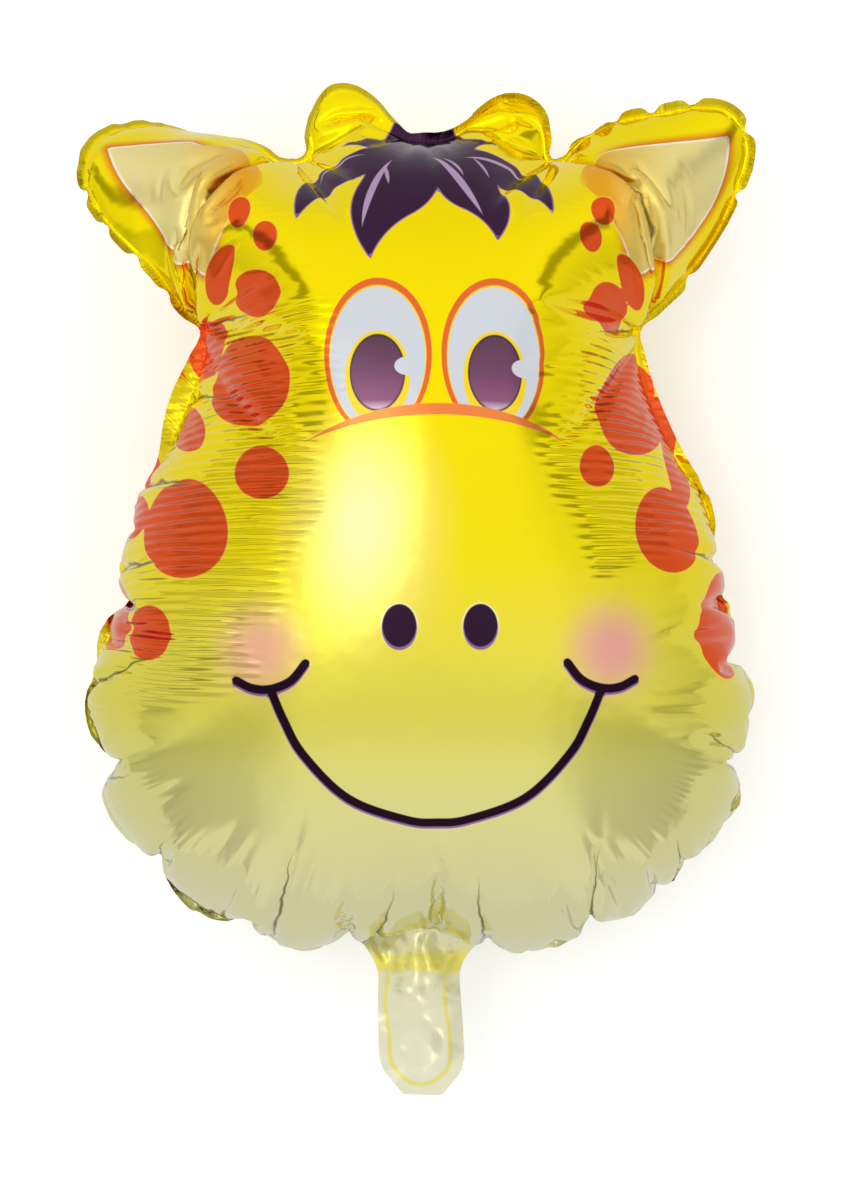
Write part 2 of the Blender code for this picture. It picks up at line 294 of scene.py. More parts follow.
def filled(sheet, x, pushes, stiffness, lowest, rng):
    """Blows the two films up from the points x.

    Each step moves every point on by CARRIED_ON of its last move and by the push times the area
    normal of its triangles, then pulls each edge back to its flat length, twice over, and each
    pair of corners across an edge part of the way, which is the film's stiffness in bending. The
    push falls to nothing as the crown nears FULL_HEIGHT, where the filling is stopped.
    """
    own, back = sides(sheet)
    flat = np.vstack([sheet["flat"], sheet["flat"][own]])
    front_faces = sheet["faces"][sheet["blown"]]
    back_faces = back[front_faces][:, ::-1]
    rim_faces = sheet["faces"][~sheet["blown"]]
    shells = np.vstack([front_faces, back_faces])
    edges = np.unique(np.sort(edges_of(np.vstack([shells, rim_faces])), axis=1), axis=0)
    bends = np.vstack([across_edges(f) for f in (front_faces, back_faces, rim_faces)])
    flat_length = lambda pairs: np.linalg.norm(flat[pairs[:, 0]] - flat[pairs[:, 1]], axis=1)
    ties = []
    for pairs, share, sweeps in ((edges, 0.5, 2), (bends, 0.5 * stiffness, 1)):
        rest = flat_length(pairs)
        ties += [(pairs[r, 0], pairs[r, 1], rest[r], share) for r in dealt(pairs, rng)] * sweeps
    cell = 0.866 * flat_length(edges).mean()**2
    speed = np.zeros_like(x)
    for push in pushes:
        a, b, c = (x[shells[:, k]] for k in range(3))
        lift = summed_at_points(shells, np.cross(b - a, c - a) / (6 * cell), len(x))
        before = x.copy()
        x = x + CARRIED_ON * speed + push * np.clip((FULL_HEIGHT - x[:, 2].max()) / SLOWING, 0.0, 1.0) * lift
        for i, j, rest, share in ties:
            d = x[j] - x[i]
            length = np.sqrt(np.einsum("ij,ij->i", d, d))
            d *= (share * (1 - rest / length))[:, None]
            x[i] += d
            x[j] -= d
        np.maximum(x[:, 2], lowest, out=x[:, 2])
        speed = x - before
    return x


def blow_up(sheet, lowest):
    """Fills a coarse sheet, then refines the mesh twice and lets the finer creases form."""
    rng = np.random.default_rng(4)
    own, back = sides(sheet)
    lift = np.where(own, 0.5 * distance_to(sheet["flat"], weld_fine[::FINE_PER_STEP]), 0.0)
    x = np.column_stack([np.vstack([sheet["flat"], sheet["flat"][own]]),
                         np.concatenate([lift, -lift[own]])])
    x[:len(own)][~own, 2] += rng.normal(0.0, 1.0, (~own).sum())
    round_the_head = np.degrees(np.arctan2(sheet["flat"][:, 1], sheet["flat"][:, 0])) % 360
    off = (round_the_head[:, None] - np.array(CHEEK_CREASES) + 180) % 360 - 180
    near = ((sheet["flat"][:, None, :] - np.array(EAR_CREASES))**2).sum(axis=2)
    seeds = np.exp(-(off / CHEEK_SPREAD)**2).sum(axis=1) + np.exp(-near / EAR_SPREAD**2).sum(axis=1)
    draw_in = np.where(own, 0.0, CREASE_SEED) * seeds
    x[:len(own), :2] *= (1 - draw_in / np.linalg.norm(sheet["flat"], axis=1))[:, None]
    x = filled(sheet, x, FIRST_PUSHES, FIRST_STIFFNESS, lowest, rng)
    for steps, push, stiffness in (REFINEMENTS):
        own, back = sides(sheet)
        front, rear = x[:len(own)], x[back]
        sheet, (front, rear) = subdivided(sheet, (front, rear))
        own, back = sides(sheet)
        x = np.vstack([front, rear[own]])
        x = filled(sheet, x, np.full(steps, push), stiffness, lowest, rng)
    return sheet, x[:len(own)], x[back]


cad_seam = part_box("front_foil_panel")[0].z
sheet, front_points, back_points = blow_up(sheet, -cad_seam / MM)


# The left ear
# The giraffe's left ear, on the left here, has turned about its own length as the gas went in,
# so that its top edge lies back.
EAR_ROOT, EAR_WAY, EAR_TURN, EAR_BLEND = (-125.0, 226.0, 0.0), (-0.82, 0.574, 0.0), 32.0, 70.0
EAR_DROOP = 6.0
EAR_CHORD = ((-113.0, 336.0), (-216.0, 184.0))


def turned_ear(points):
    """Turns the ear about its own length and lets it droop, both growing smoothly from its root.

    With k along the ear and r from its root, the turn about k takes a point to
    k (k.r) + (r - k (k.r)) cos a + (k x r) sin a, and the droop is a plain turn in the weld's plane.
    """
    first, second = np.array(EAR_CHORD)
    along = (second - first) / np.linalg.norm(second - first)
    beyond = (sheet["flat"] - first) @ np.array((along[1], -along[0]))
    t = np.clip(beyond / EAR_BLEND, 0.0, 1.0) * (sheet["flat"][:, 0] < 0) * (sheet["flat"][:, 1] > 150)
    share = (t * t * (3 - 2 * t))[:, None]
    angle, droop = np.radians(EAR_TURN) * share, np.radians(EAR_DROOP) * share[:, 0]
    k = np.array(EAR_WAY) / np.linalg.norm(EAR_WAY)
    r = points - EAR_ROOT
    lengthwise = (r @ k)[:, None] * k
    r = lengthwise + (r - lengthwise) * np.cos(angle) + np.cross(k, r) * np.sin(angle)
    c, s = np.cos(droop), np.sin(droop)
    return EAR_ROOT + np.column_stack([r[:, 0] * c - r[:, 1] * s, r[:, 0] * s + r[:, 1] * c, r[:, 2]])


front_points, back_points = turned_ear(front_points), turned_ear(back_points)


# The pressed creases and the tab's folds
# Where the weld puckers most, a sharp crease runs from it into the film, and the film swells like a
# cushion on both sides. Each crease has its two ends on the flat sheet and its depth. The empty tab
# is crumpled: each fold has its two ends, its height and its half width.
CREASES = (
    ((-216, 184), (-100, 174), 5.5), ((-237, 131), (-138, 113), 5.0), ((-262, 68), (-150, 50), 6.0),
    ((-283, 5), (-158, -7), 6.0), ((-296, -105), (-150, -58), 6.0), ((-280, -190), (-190, -150), 4.5),
    ((-234, -258), (-172, -190), 5.0), ((-125, -331), (-76, -160), 6.5), ((-38, -340), (-14, -205), 5.0),
    ((56, -341), (36, -190), 5.0), ((132, -328), (124, -160), 6.5), ((224, -272), (178, -184), 5.0),
    ((288, -162), (180, -116), 5.0), ((283, 5), (164, 6), 6.5), ((217, 182), (118, 156), 6.0),
    ((-216, 192), (-100, 354), 12.0), ((-114, 334), (-200, 213), 9.0),
    ((216, 198), (110, 348), 12.0), ((114, 332), (203, 215), 9.0),
)
CREASE_WIDTH, CUSHION_WIDTH, CUSHION_SHARE, CREASE_START = 4.0, 24.0, 0.5, 12.0
TAB_TOP, TAB_FADE = -346.0, 6.0
TAB_FOLDS = (
    ((-7, -346), (-10, -364), 2.5, 6.0), ((-10, -364), (-3, -382), 2.0, 6.0),
    ((3, -350), (9, -367), 2.5, 6.0), ((9, -367), (0, -382), 2.0, 6.0),
    ((25, -358), (7, -382), 2.5, 7.0), ((-22, -352), (-14, -376), 2.0, 6.0),
    ((-34, -377), (8, -385), -2.5, 8.0), ((8, -385), (34, -388), 2.5, 9.0),
    ((-20, -383), (25, -417), 3.0, 14.0), ((-18, -416), (-4, -428), 1.5, 7.0),
    ((-28, -400), (-30, -430), -2.0, 9.0), ((27, -398), (20, -430), 1.5, 8.0),
)
flat = sheet["flat"]
from_weld = distance_to(flat, weld_fine[::2]) * np.where(is_inside(flat, weld_fine[::2]), 1.0, -1.0)


def normals(points, faces):
    """Gives each point's unit normal, the sum of the area normals of its triangles."""
    a, b, c = (points[faces[:, k]] for k in range(3))
    total = summed_at_points(faces, np.cross(b - a, c - a), len(points))
    return total / np.maximum(np.linalg.norm(total, axis=1, keepdims=True), 1e-9)


def from_fold(start, end):
    """Gives each point's share of the way along a fold on the flat sheet, and its distance from it."""
    a, way = np.array(start, float), np.subtract(end, start).astype(float)
    t = np.clip((flat - a) @ way / (way @ way), 0.0, 1.0)
    return t, np.linalg.norm(flat - a - t[:, None] * way, axis=1)


def creased(points, faces):
    """Presses the creases into a film, along its normals.

    At a distance d from a crease and a share t of the way along it, the film moves in by
    depth * s * (exp(-(d / width)^2) - share * exp(-(d / cushion)^2)), where s falls from 1 to 0
    as t goes from 0.3 to 1.
    """
    moved = np.zeros(len(points))
    inner = np.clip(from_weld / CREASE_START, 0.0, 1.0)
    for start, end, depth in CREASES:
        t, d = from_fold(start, end)
        s = np.clip((1.0 - t) / 0.7, 0.0, 1.0)**1.5
        cushion = CUSHION_SHARE * np.exp(-(d / CUSHION_WIDTH)**2)
        moved += depth * s * (np.exp(-(d / CREASE_WIDTH)**2) - cushion)
    return points - (inner * moved)[:, None] * normals(points, faces)


def tab_folds(points):
    """Folds the flat tab. Each fold is a ridge whose two sides fall off evenly over its width."""
    lift = np.zeros(len(points))
    for start, end, height, width in TAB_FOLDS:
        lift += height * np.clip(1.0 - from_fold(start, end)[1] / width, 0.0, 1.0)
    in_tab = np.clip((TAB_TOP - flat[:, 1]) / TAB_FADE, 0.0, 1.0)
    return points + np.column_stack([0 * lift, 0 * lift, in_tab * lift])


front_points = tab_folds(creased(front_points, sheet["faces"][sheet["blown"]]))
back_points = tab_folds(creased(back_points, sheet["faces"][sheet["blown"]][:, ::-1]))


def film_mesh(name, points, faces, fields):
    """Makes a smooth-shaded mesh object from points in millimetres, with the fields at its points."""
    mesh = bpy.data.meshes.new(name)
    mesh.vertices.add(len(points))
    mesh.vertices.foreach_set("co", ((points + (0.0, 0.0, cad_seam / MM)) * MM).astype(np.float32).ravel())
    mesh.loops.add(3 * len(faces))
    mesh.loops.foreach_set("vertex_index", faces.astype(np.int32).ravel())
    mesh.polygons.add(len(faces))
    mesh.polygons.foreach_set("loop_start", np.arange(0, 3 * len(faces), 3, dtype=np.int32))
    mesh.polygons.foreach_set("use_smooth", np.ones(len(faces), bool))
    for field, values in fields.items():
        kind, slot = ("FLOAT", "value") if values.ndim == 1 else ("FLOAT_VECTOR", "vector")
        stored = mesh.attributes.new(field, kind, "POINT")
        stored.data.foreach_set(slot, values.astype(np.float32).ravel())
    mesh.update(calc_edges=True)
    mesh.validate()
    piece = bpy.data.objects.new(name, mesh)
    bpy.context.scene.collection.objects.link(piece)
    return piece


# The film's own fields
# Print is laid on the flat sheet before it is cut, so every printed shape is placed in the flat
# sheet's millimetres and follows the film as it swells. Fine relief follows the weld, as the real
# gathers do: each point knows its nearest place on the weld, smoothed over its neighbours.
nearest = np.concatenate([((part[:, None, :] - weld_fine[::2])**2).sum(axis=2).argmin(axis=1)
                          for part in np.array_split(flat, 60)])
SMOOTHINGS = 12
round_weld = np.exp(4j * np.pi * nearest / len(weld_fine))
film_edges = edges_of(sheet["faces"])
for _ in range(SMOOTHINGS):
    total = sum(np.bincount(film_edges[:, 0], part[film_edges[:, 1]], len(flat)) * unit
                for part, unit in ((round_weld.real, 1), (round_weld.imag, 1j)))
    round_weld = total / np.maximum(np.abs(total), 1e-9)
weld_radius = len(weld_fine) / (2 * np.pi)
from_chin = np.angle(round_weld) % (2 * np.pi) * weld_radius
FILM_GAP, FILM_GAP_REACH = 0.1, 1.5
sheet_fields = {
    "sheet": np.column_stack([flat, np.zeros(len(flat))]),
    "along weld": np.column_stack([weld_radius * round_weld.real, weld_radius * round_weld.imag,
                                   0.12 * from_weld]),
    "run": np.column_stack([from_chin, 0.3 * from_weld, np.zeros(len(flat))]),
    "from weld": from_weld,
}


def parted(points, faces):
    """Moves a film outward off its twin on the rim and tab, where they lie face to face.

    The move grows to FILM_GAP over the first FILM_GAP_REACH from the cut edge, where they meet.
    """
    on_rim = np.where(from_weld < 0.1)[0]
    share = np.clip(distance_to(flat[on_rim], cut_fine) / FILM_GAP_REACH, 0.0, 1.0)
    moved = points.copy()
    moved[on_rim] += FILM_GAP * share[:, None] * normals(points, faces)[on_rim]
    return moved


def node(tree, kind, *inputs, **settings):
    """Adds a node. Its inputs in order are sockets to link, values to set, or None to leave."""
    made = tree.nodes.new(kind)
    for name, value in settings.items():
        setattr(made, name, value)
    for slot, value in zip(made.inputs, inputs):
        if isinstance(value, bpy.types.NodeSocket):
            tree.links.new(value, slot)
        elif value is not None:
            slot.default_value = value
    return made.outputs[0]


def maths(operation, *values):
    """Works out one operation on sockets and numbers, in the node tree of the first socket."""
    tree = next(value.id_data for value in values if isinstance(value, bpy.types.NodeSocket))
    return node(tree, "ShaderNodeMath", *values, operation=operation)


def times(a, b):
    """Multiplies two values or masks."""
    return maths("MULTIPLY", a, b)


def plus(a, b):
    """Adds two values."""
    return maths("ADD", a, b)


def eased(value, first, last, low=0.0, high=1.0, kind="SMOOTHSTEP"):
    """Takes a value from low to high as it goes from first to last, slowly at both ends."""
    return node(value.id_data, "ShaderNodeMapRange", value, first, last, low, high, interpolation_type=kind)


def faded(value, first, last, low=0.0, high=1.0):
    """Takes a value evenly from low to high as it goes from first to last."""
    return eased(value, first, last, low, high, "LINEAR")


def group(name, sockets_in, sockets_out):
    """Starts a node group with the named sockets. Gives its tree, input sockets and output node."""
    tree = bpy.data.node_groups.new(name, "ShaderNodeTree")
    for socket, kind in sockets_in:
        tree.interface.new_socket(socket, in_out="INPUT", socket_type=kind)
    for socket, kind in sockets_out:
        tree.interface.new_socket(socket, in_out="OUTPUT", socket_type=kind)
    entry = tree.nodes.new("NodeGroupInput")
    return tree, list(entry.outputs)[:len(sockets_in)], tree.nodes.new("NodeGroupOutput")


def field(tree, name):
    """Reads a field of the film, as its value and as its vector."""
    outputs = node(tree, "ShaderNodeAttribute", attribute_name=name).node.outputs
    return outputs["Fac"], outputs["Vector"]


def sheet_place(tree):
    """Gives the place on the flat sheet, in millimetres, and its x and y."""
    _, place = field(tree, "sheet")
    x, y, _ = node(tree, "ShaderNodeSeparateXYZ", place).node.outputs
    return place, x, y


SIDE_GATHER_SCALE, CHEEK_GATHER_SCALE, GATHER_DISTORTION = 0.045, 0.033, 2.4
GATHER_START, CHEEK_GATHER_END = (35.0, 90.0), (75.0, 115.0)
FACE_MIDDLE, FACE_EDGE, FACE_RAGGEDNESS = 12.0, (86.0, 132.0), 70.0
FACE_NARROWING, NARROWEST_Y = 0.4, 45.0
CHEEK_SLOPE, CHEEK_TOP, CHEEK_GATHER_TOP = -0.29, (-60.0, -34.0), (-100.0, -60.0)
EAR_SLOPE, EAR_BOTTOM = 0.08, (160.0, 178.0)


def relief_group():
    """Makes the film's fine relief: gathers, tab crumples, ribs on the rim, and slight waves.

    The gathers are ripples half a finger apart. At the sides of the head they lie level, from a
    thumb's width inside the weld to the edge of the face. On the cheeks they are weak and run out
    from the weld.
    """
    tree, _, end = group("film relief", (), (("Normal", "NodeSocketVector"),))
    _, along = field(tree, "along weld")
    _, run = field(tree, "run")
    depth, _ = field(tree, "from weld")
    place, x, y = sheet_place(tree)
    ripples = lambda way, scale: node(tree, "ShaderNodeTexWave", way, scale, GATHER_DISTORTION,
                                      1.0, 1.0).node.outputs["Fac"]
    noise = lambda at, *look: node(tree, "ShaderNodeTexNoise", at, None, *look)
    patches = noise(place, 0.022, 1.0, 0.5)
    aside = maths("ABSOLUTE", plus(x, -FACE_MIDDLE))
    narrowing = times(maths("MINIMUM", y, NARROWEST_Y), FACE_NARROWING)
    ragged = times(plus(patches, -0.5), FACE_RAGGEDNESS)
    off_face = eased(plus(plus(aside, narrowing), ragged), *FACE_EDGE)
    slanting = plus(y, times(x, CHEEK_SLOPE))
    above_cheek = eased(slanting, *CHEEK_TOP)
    below_ear = eased(plus(y, times(x, EAR_SLOPE)), *EAR_BOTTOM, 1.0, 0.05)
    level = node(tree, "ShaderNodeCombineXYZ", y, times(x, 0.3))
    at_side = times(ripples(level, SIDE_GATHER_SCALE), off_face)
    at_side = times(at_side, times(above_cheek, below_ear))
    on_cheek = times(eased(depth, *CHEEK_GATHER_END, 0.22, 0.0),
                     faded(slanting, *CHEEK_GATHER_TOP, 1.0, 0.0))
    on_cheek = times(on_cheek, faded(aside, 45.0, 75.0))
    on_cheek = times(ripples(run, CHEEK_GATHER_SCALE), on_cheek)
    start = eased(depth, *GATHER_START, 0.3, 1.0)
    patchy = faded(patches, 0.38, 0.52, 0.9, 1.7)
    gathers = times(plus(at_side, on_cheek), times(patchy, start))
    waves = times(noise(place, 0.03, 2.0, 0.5), 0.5)
    crumples = times(noise(place, 0.035, 2.0, 0.35), faded(y, -340.0, -356.0, 0.0, 4.0))
    on_rim = times(faded(depth, 0.0, -2.0, 0.0, 0.8), faded(y, 60.0, 190.0, 0.1, 1.0))
    ribs = times(noise(along, 0.55, 1.0, 0.5), on_rim)
    bump = tree.nodes.new("ShaderNodeBump")
    bump.inputs["Strength"].default_value = 1.0
    bump.inputs["Distance"].default_value = MM
    height = plus(plus(plus(gathers, waves), crumples), ribs)
    tree.links.new(height, bump.inputs["Height"])
    tree.links.new(bump.outputs[0], end.inputs[0])
    return tree


film_relief = relief_group()


# Front foil
# The front film is printed in clear inks over the silver side of the foil: yellow, fading to a
# pale cream chin, with the giraffe's face, spots and inner ears.
PRINT_MIDDLE = 11.0
SPOTS = (
    (-109, 230, 12, 9, -75), (-124, 191, 25, 17, -15), (-157, 214, 26, 11, 38), (-129, 254, 13, 8, 90),
    (-138, 126, 46, 33, -20), (-205, 100, 34, 15, -30), (-114, 57, 23, 18, -15), (-180, 21, 45, 34, -28),
    (-200, -55, 22, 20, 0), (-264, -38, 42, 30, -30), (-206, 163, 32, 25, -20), (-248, 38, 28, 16, -20),
    (-266, 72, 28, 14, -75), (121, 232, 11, 9, -80), (159, 186, 29, 19, -20), (130, 254, 11, 9, 80),
    (171, 212, 28, 9, -30), (188, 117, 59, 34, 36), (129, 62, 16, 14, 35), (189, 20, 34, 30, 38),
    (251, -47, 50, 38, 45), (230, 89, 54, 18, 67),
)
FORELOCK = (
    (-87, 240, 8.5), (-38, 283, -12), (-34, 203, 4), (-6, 240, -3), (12, 266, -3), (30, 245, 3),
    (53, 218, -9), (54, 274, 8), (93, 244, -4), (86, 300, -1.5), (38, 316, 3), (55, 326, 0),
    (32, 346, 0), (22, 370, 0), (-20, 370, 0), (-26, 346, 5), (-60, 330, 1), (-36, 317, -25),
)
EAR_PATCH = ((236, 337, 5), (142, 324, -6), (115, 281, -4), (168, 218, -20))
SMILE = ((-111, -93), (-103, -111), (-90, -134), (-60, -164), (-21, -179), (0, -181),
         (21, -179), (60, -164), (90, -134), (103, -111), (111, -93))
CHEEK = ((88, -72), (98, -84), (112, -90), (125, -90), (137, -85))
STROKE_HALF_WIDTH = 3.0
STROKE_SHADOW = 1.5
TAB_SEAL = ((-20, -362), (-23, -391), (-19, -415), (-17, -434), (-7, -447), (4, -451), (15, -448),
            (25, -437), (25, -417), (21, -391), (20, -362))


def arc_outline(corners):
    """Joins corners (x, y, bulge) by arcs, each bulging to the left of its way by that height.

    An arc is drawn as a parabola: the chord's point at t, plus 4 t (1 - t) bulge along its normal.
    """
    at = np.array(corners, float)
    way = np.roll(at[:, :2], -1, axis=0) - at[:, :2]
    length = np.linalg.norm(way, axis=1, keepdims=True)
    left = np.column_stack([-way[:, 1], way[:, 0]]) / length
    t = np.linspace(0.0, 1.0, 16, endpoint=False)[None, :, None]
    loop = at[:, None, :2] + t * way[:, None, :] + (4 * t * (1 - t)) * at[:, None, 2:] * left[:, None, :]
    return loop.reshape(-1, 2)


def signed_distance(points, loop):
    """Measures the distance to a closed outline, negative inside it."""
    return distance_to(points, loop) * np.where(is_inside(points, loop), -1.0, 1.0)


def open_curve(points):
    """Draws a Catmull-Rom curve through the points, from the first to the last."""
    corners = np.array(points, float)
    longer = np.vstack([2 * corners[0] - corners[1], corners, 2 * corners[-1] - corners[-2]])
    t = np.linspace(0.0, 1.0, 8, endpoint=False)[None, :, None]
    curve = catmull_rom(*(longer[k:len(longer) - 3 + k, None, :] for k in range(4)), t)
    return np.vstack([curve.reshape(-1, 2), corners[-1]])


def distance_to_line(points, line):
    """Measures the distance to an open line, as the distance to the line drawn there and back."""
    return distance_to(points, np.vstack([line, line[-2:0:-1]]))


def spot_distance(points, spots):
    """Measures roughly how far the points lie outside the nearest spot, negative inside one.

    For an ellipse with half axes a and b the distance is (r - 1) * sqrt(a b), where r is the
    point's radius after the ellipse is shrunk to a unit circle.
    """
    least = np.full(len(points), 1e3)
    for x, y, a, b, turn in spots:
        c, s = np.cos(np.radians(turn)), np.sin(np.radians(turn))
        away = points - (x, y)
        r = np.hypot((away[:, 0] * c + away[:, 1] * s) / a, (away[:, 1] * c - away[:, 0] * s) / b)
        least = np.minimum(least, (r - 1) * np.sqrt(a * b))
    return least


def folded(points):
    """Folds the sheet down the middle, so that a shape on the right is met on the left too."""
    return np.column_stack([np.abs(points[:, 0]), points[:, 1]])


smile_line, cheek_line = open_curve(SMILE), open_curve(CHEEK)


def pen_distance(points):
    """Measures the distance from the smile and the cheek lines as drawn with a round pen."""
    line = np.minimum(distance_to_line(points, smile_line), distance_to_line(folded(points), cheek_line))
    return line - STROKE_HALF_WIDTH


face = flat - (PRINT_MIDDLE, 0.0)
front_fields = dict(sheet_fields)
front_fields["spots"] = spot_distance(flat, SPOTS)
front_fields["forelock"] = signed_distance(flat, arc_outline(FORELOCK))
front_fields["ears"] = signed_distance(folded(flat), arc_outline(EAR_PATCH))
front_fields["smile"] = pen_distance(face)
front_fields["smile edge"] = pen_distance(face + (0.0, STROKE_SHADOW))
front_fields["tab seal"] = signed_distance(flat, open_curve(TAB_SEAL))
front = film_mesh("front_foil", parted(front_points, sheet["faces"]), sheet["faces"], front_fields)


def within(distance, soft=0.35, grow=0.0):
    """Masks the area where a distance is below grow, with an edge that is soft by so much."""
    return faded(distance, grow + soft, grow - soft)


def over(colour, paint, mask):
    """Lays a paint over a colour where the mask is 1."""
    both = [value if isinstance(value, bpy.types.NodeSocket) else (*value, 1.0) for value in (colour, paint)]
    unused = [None] * 5
    return node(mask.id_data, "ShaderNodeMix", mask, *unused, *both, data_type="RGBA").node.outputs[2]


def ramp(value, stops):
    """Colours a value by stops (value, colour), rising from the first to the last."""
    low, high = stops[0][0], stops[-1][0]
    made = node(value.id_data, "ShaderNodeValToRGB", faded(value, low, high)).node
    for k, (stop, colour) in enumerate(stops):
        element = made.color_ramp.elements[k] if k < 2 else made.color_ramp.elements.new(1.0)
        element.position = (stop - low) / (high - low)
        element.color = (*colour, 1.0)
    return made.outputs[0]


def ellipse_group():
    """Makes the distance outside an ellipse: (r - 1) times its first half axis.

    Here r is the point's radius after the ellipse is shrunk to a unit circle.
    """
    sockets = [(name, "NodeSocketVector") for name in ("Place", "Middle", "Half axes")]
    tree, (place, middle, axes), end = group("ellipse", sockets, (("Distance", "NodeSocketFloat"),))
    away = node(tree, "ShaderNodeVectorMath", place, middle, operation="SUBTRACT")
    shrunk = node(tree, "ShaderNodeVectorMath", away, axes, operation="DIVIDE")
    r = node(tree, "ShaderNodeVectorMath", shrunk, operation="LENGTH").node.outputs["Value"]
    first_axis = node(tree, "ShaderNodeSeparateXYZ", axes)
    tree.links.new(times(maths("SUBTRACT", r, 1.0), first_axis), end.inputs[0])
    return tree


ellipse_shape = ellipse_group()


def ellipse(place, middle, axes):
    """Gives the distance outside an ellipse in the flat sheet's millimetres."""
    axes = (*axes, 1e6)
    return node(place.id_data, "ShaderNodeGroup", place, (*middle, 0.0), axes, node_tree=ellipse_shape)


def lens_group():
    """Makes the distance outside a lens or crescent, the area between two arcs.

    Each arc has a circle of centre c and signed radius r, and a sign that tells its side. The
    distance is the greater of sign * |p - c| - r for the high arc and its negative for the low.
    """
    names = ("Place", "High centre", "High radius", "High sign", "Low centre", "Low radius", "Low sign")
    kinds = [(name, "NodeSocketVector" if name.endswith(("Place", "centre")) else "NodeSocketFloat")
             for name in names]
    tree, slots, end = group("lens", kinds, (("Distance", "NodeSocketFloat"),))
    far = []
    for centre, radius, sign in (slots[1:4], slots[4:7]):
        away = node(tree, "ShaderNodeVectorMath", slots[0], centre, operation="DISTANCE").node
        far.append(maths("SUBTRACT", times(away.outputs["Value"], sign), radius))
    below = times(far[1], -1.0)
    tree.links.new(maths("MAXIMUM", far[0], below), end.inputs[0])
    return tree


lens_shape = lens_group()


def lens(place, tip, other_tip, low, high):
    """Gives the distance outside the area between two arcs from tip to tip, of bulges low and high."""
    a, b = np.array(tip, float), np.array(other_tip, float)
    half = 0.5 * np.linalg.norm(b - a)
    left = np.array((a[1] - b[1], b[0] - a[0])) / (2 * half)
    arcs = []
    for bulge in (high, low):
        radius = (half**2 + bulge**2) / (2 * bulge)
        centre = 0.5 * (a + b) + left * (bulge - radius)
        arcs += [(*centre, 0.0), radius, np.sign(bulge)]
    return node(place.id_data, "ShaderNodeGroup", place, *arcs, node_tree=lens_shape)


# The painted shade in each crease: its share of the crease's length, its width per millimetre of depth, the
# widest it gets, and how far it wanders.
SHADE_LENGTH_SHARE, SHADE_WIDTH_SHARE, WIDEST_SHADE = 0.7, 0.28, 1.6
SHADE_WANDER, SHADE_WANDER_SCALE = (7.0, 7.0, 0.0), 0.05


def painted_crease_shade_group():
    """Makes the mask of the painted shade along the bottoms of the creases, where the film mostly sees
    itself.
    """
    sockets_in, sockets_out = (("Place", "NodeSocketVector"),), (("Mask", "NodeSocketFloat"),)
    tree, (place,), end = group("painted crease shade", sockets_in, sockets_out)
    wander = node(tree, "ShaderNodeTexNoise", place, None, SHADE_WANDER_SCALE).node.outputs["Color"]
    offset = node(tree, "ShaderNodeVectorMath", wander, (0.5, 0.5, 0.5), operation="SUBTRACT")
    offset = node(tree, "ShaderNodeVectorMath", offset, SHADE_WANDER, operation="MULTIPLY")
    place = node(tree, "ShaderNodeVectorMath", place, offset, operation="ADD")
    mask = 0.0
    for start, finish, depth in CREASES:
        tip = tuple(np.add(start, SHADE_LENGTH_SHARE * np.subtract(finish, start)))
        width = min(SHADE_WIDTH_SHARE * depth, WIDEST_SHADE)
        sliver = within(lens(place, start, tip, -0.5 * width, width), 0.6)
        mask = maths("MAXIMUM", sliver, mask)
    tree.links.new(mask, end.inputs[0])
    return tree


painted_crease_shade = painted_crease_shade_group()
# Painted shade: a dark olive laid into the creases, in place of the shade where the film sees itself.
CREASE_SHADE_PAINT, CREASE_SHADE_STRENGTH = (0.10, 0.085, 0.003), 0.85
MIRROR, WHITE_INK_MIRROR = 0.97, 0.1
GLOSS_ROUGHNESS, SATIN_ROUGHNESS = 0.13, 0.34


def foil(tree, colour, dull, satin):
    """Finishes printed foil: painted shade in the creases, a mirror under clear ink, dulled by white ink,
    the tab and the crimp.
    """
    shader = tree.nodes["Principled BSDF"]
    place, _, y = sheet_place(tree)
    shade_in_creases = node(tree, "ShaderNodeGroup", place, node_tree=painted_crease_shade)
    # Painted shade darkens the colour along the creases.
    colour = over(colour, CREASE_SHADE_PAINT, times(shade_in_creases, CREASE_SHADE_STRENGTH))
    depth, _ = field(tree, "from weld")
    pale_rim = times(faded(depth, -0.5, -3.0, 0.0, 0.45), faded(y, 40.0, 160.0, 1.0, 0.0))
    dull = maths("MAXIMUM", dull, pale_rim)
    tree.links.new(colour, shader.inputs["Base Color"])
    tree.links.new(faded(dull, 0.0, 1.0, MIRROR, WHITE_INK_MIRROR), shader.inputs["Metallic"])
    tree.links.new(faded(satin, 0.0, 1.0, GLOSS_ROUGHNESS, SATIN_ROUGHNESS), shader.inputs["Roughness"])
    shader.inputs["Coat Weight"].default_value = 0.05
    shader.inputs["Coat Roughness"].default_value = 0.08
    tree.links.new(node(tree, "ShaderNodeGroup", node_tree=film_relief), shader.inputs["Normal"])


GROUND = ((-335, (0.72, 0.70, 0.42)), (-240, (0.72, 0.70, 0.38)), (-160, (0.74, 0.70, 0.24)),
          (-110, (0.76, 0.70, 0.10)), (0, (0.92, 0.76, 0.006)), (120, (0.97, 0.77, 0.0)))
RIM_GOLD = (0.52, 0.38, 0.008)


def film_ground(tree):
    """Lays the yellow ground of both films, fading to cream at the chin, gold on the crimped rim.

    Gives the sheet position, its x and y, and the colour.
    """
    place, x, y = sheet_place(tree)
    depth, _ = field(tree, "from weld")
    on_rim = times(faded(depth, -0.5, -4.0, 0.0, 0.8), faded(y, 40.0, 200.0))
    return place, x, y, over(ramp(y, GROUND), RIM_GOLD, on_rim)


SPOT_ORANGE, SPOT_EDGE = (0.78, 0.09, 0.012), (0.95, 0.62, 0.06)


